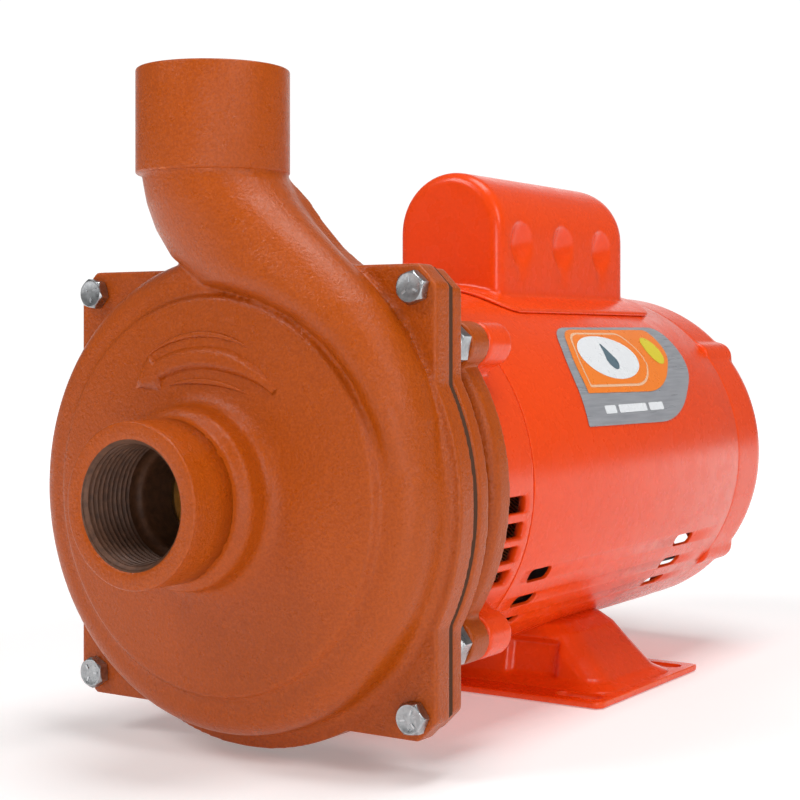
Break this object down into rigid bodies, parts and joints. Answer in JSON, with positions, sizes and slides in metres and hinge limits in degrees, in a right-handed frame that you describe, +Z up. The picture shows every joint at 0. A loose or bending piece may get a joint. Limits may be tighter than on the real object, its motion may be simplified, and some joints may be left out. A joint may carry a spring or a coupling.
{
  "type": "centrifugal water pump",
  "caption": "Close-coupled centrifugal water pump: cast casing with threaded end suction and top discharge, adapter, and foot-mounted capacitor-start motor.",
  "frame": {"origin": "middle of the foot's bolt slots, on the surface the foot stands on", "axes": "+Z up, -Y along the shaft out of the suction port, +X to the right as seen from the suction end"},
  "size_m": [0.1748, 0.3742, 0.238],
  "materials": {
    "cast_paint": "satin, cast texture",
    "motor_paint": "gloss enamel",
    "gasket": "matte fibre and rubber",
    "zinc": "zinc plated",
    "bronze": "cast and machined",
    "stainless": "ground",
    "ceramic": "polished ceramic",
    "rubber": "matte",
    "carbon": "lapped carbon",
    "laminations": "varnished laminations",
    "cast_aluminium": "die cast",
    "bearing_steel": "polished",
    "copper": "varnished windings",
    "bakelite": "moulded",
    "brass": "plain",
    "nylon": "moulded",
    "board": "phenolic board",
    "green_zinc": "green plated",
    "badge": "satin printed foil"
  },
  "bodies": {
    "frame": {"volute_casing": "cast_paint", "casing_gasket": "gasket", "adapter_bracket": "cast_paint", "casing_bolts": "zinc", "adapter_bolts": "zinc", "seal_seat": "ceramic", "seal_seat_cup": "rubber", "front_bearing_outer": "bearing_steel", "rear_bearing_outer": "bearing_steel", "wave_spring": "stainless", "front_end_bell": "motor_paint", "motor_shell": "motor_paint", "rear_end_bell": "motor_paint", "stator_core": "laminations", "stator_windings": "copper", "through_bolts": "zinc", "start_capacitor": "bakelite", "capacitor_terminals": "brass", "capacitor_strap": "zinc", "capacitor_grommet": "rubber", "capacitor_cover": "motor_paint", "cover_screws": "zinc", "motor_foot": "motor_paint", "switch_board": "board", "switch_contacts": "brass", "terminal_board": "board", "terminal_studs": "brass", "overload_protector": "bakelite", "ground_screw": "green_zinc", "cable_bushing": "rubber", "rear_cover": "motor_paint", "rear_cover_screws": "zinc", "badge_plate": "badge"},
    "rotor": {"impeller": "bronze", "impeller_lock_screw": "stainless", "seal_face": "carbon", "seal_bellows": "rubber", "seal_spring": "stainless", "water_slinger": "rubber", "motor_shaft": "stainless", "rotor_core": "laminations", "rotor_end_rings": "cast_aluminium", "front_bearing_inner": "bearing_steel", "rear_bearing_inner": "bearing_steel", "governor_base": "board"},
    "front_balls": {"front_bearing_balls": "bearing_steel", "front_bearing_cage": "brass"},
    "rear_balls": {"rear_bearing_balls": "bearing_steel", "rear_bearing_cage": "brass"},
    "spool": {"governor_spool": "nylon"},
    "weight_upper": {"governor_weight_upper": "zinc"},
    "weight_lower": {"governor_weight_lower": "zinc"},
    "switch_arm": {"switch_arm": "brass"}
  },
  "joints": [
    {"name": "shaft_spin", "type": "hinge", "parent": "frame", "child": "rotor", "pos_m": [0, -0.0697, 0.0915], "axis": [0, 1, 0], "continuous": true},
    {"name": "front_balls_spin", "type": "hinge", "parent": "frame", "child": "front_balls", "pos_m": [0, -0.1237, 0.0915], "axis": [0, 1, 0], "continuous": true},
    {"name": "rear_balls_spin", "type": "hinge", "parent": "frame", "child": "rear_balls", "pos_m": [0, 0.1043, 0.0915], "axis": [0, 1, 0], "continuous": true},
    {"name": "governor_slide", "type": "slide", "parent": "rotor", "child": "spool", "axis": [0, -1, 0], "range_m": [0, 0.003]},
    {"name": "weight_upper_swing", "type": "hinge", "parent": "rotor", "child": "weight_upper", "pos_m": [0, 0.0713, 0.1135], "axis": [-1, 0, 0], "range_deg": [0, 18]},
    {"name": "weight_lower_swing", "type": "hinge", "parent": "rotor", "child": "weight_lower", "pos_m": [0, 0.0713, 0.0695], "axis": [1, 0, 0], "range_deg": [0, 18]},
    {"name": "switch_arm_swing", "type": "hinge", "parent": "frame", "child": "switch_arm", "pos_m": [0, 0.0868, 0.1205], "axis": [-1, 0, 0], "range_deg": [0, 6]}
  ],
  "couplings": [
    {"joint": "front_balls_spin", "follows": "shaft_spin", "ratio": 0.3842},
    {"joint": "rear_balls_spin", "follows": "shaft_spin", "ratio": 0.3842},
    {"joint": "weight_upper_swing", "follows": "governor_slide", "rad_per_m": 100},
    {"joint": "weight_lower_swing", "follows": "governor_slide", "rad_per_m": 100},
    {"joint": "switch_arm_swing", "follows": "governor_slide", "rad_per_m": 34}
  ]
}
